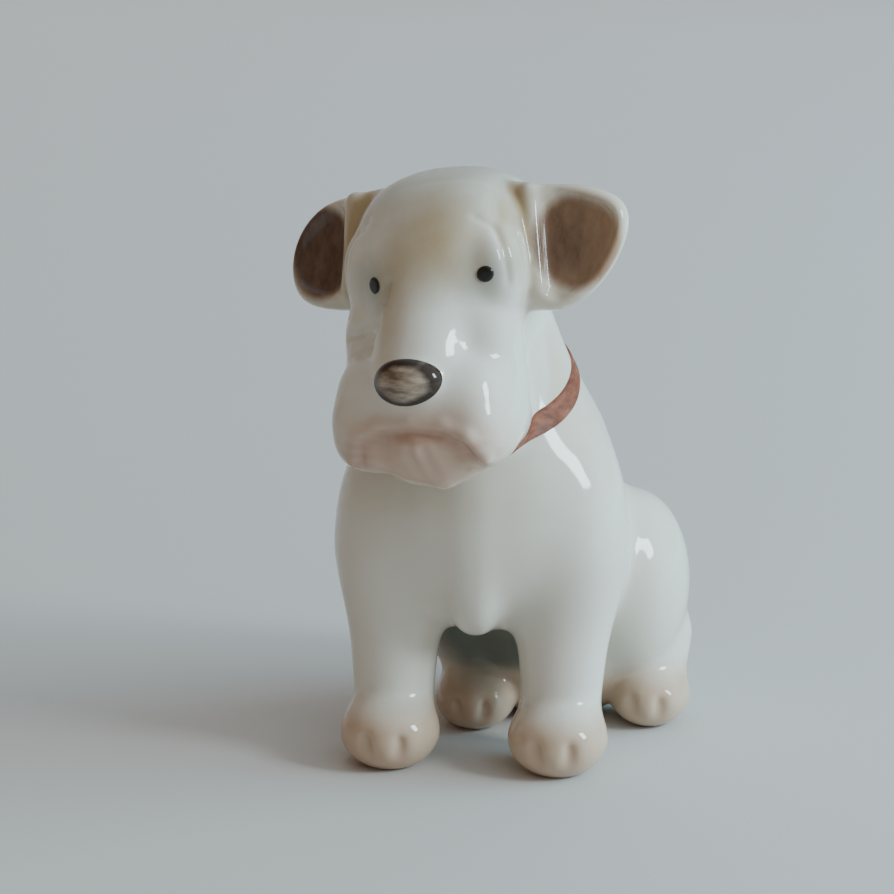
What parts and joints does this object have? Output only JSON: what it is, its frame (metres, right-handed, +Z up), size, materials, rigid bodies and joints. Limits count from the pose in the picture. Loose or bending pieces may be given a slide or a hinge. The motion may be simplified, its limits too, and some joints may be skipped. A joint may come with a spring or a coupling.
{
  "type": "ceramic dog figurine",
  "caption": "Small glazed porcelain figurine of a seated terrier with folded brown ears, a turned head and a painted collar band.",
  "frame": {"origin": "centre of the whole figurine's outline seen from above, at table height", "axes": "+Z up, the chest faces -Y, +X is the dog's own left"},
  "size_m": [0.053, 0.06, 0.0792],
  "materials": {
    "white_glaze": "glossy white glaze",
    "brown_glaze": "glossy glaze over brown underglaze",
    "paw_glaze": "glossy glaze over a pinkish tan tint",
    "collar_enamel": "glossy red-brown enamel",
    "nose_enamel": "glossy dark brown enamel",
    "eye_enamel": "glossy black enamel"
  },
  "bodies": {
    "root": {"body_casting": "white_glaze", "head_casting": "white_glaze", "left_ear": "brown_glaze", "right_ear": "brown_glaze", "left_foreleg": "white_glaze", "right_foreleg": "white_glaze", "left_hind_paw": "paw_glaze", "right_hind_paw": "paw_glaze", "tail": "white_glaze", "collar_band": "collar_enamel", "nose_pad": "nose_enamel", "left_eye": "eye_enamel", "right_eye": "eye_enamel"}
  },
  "joints": []
}
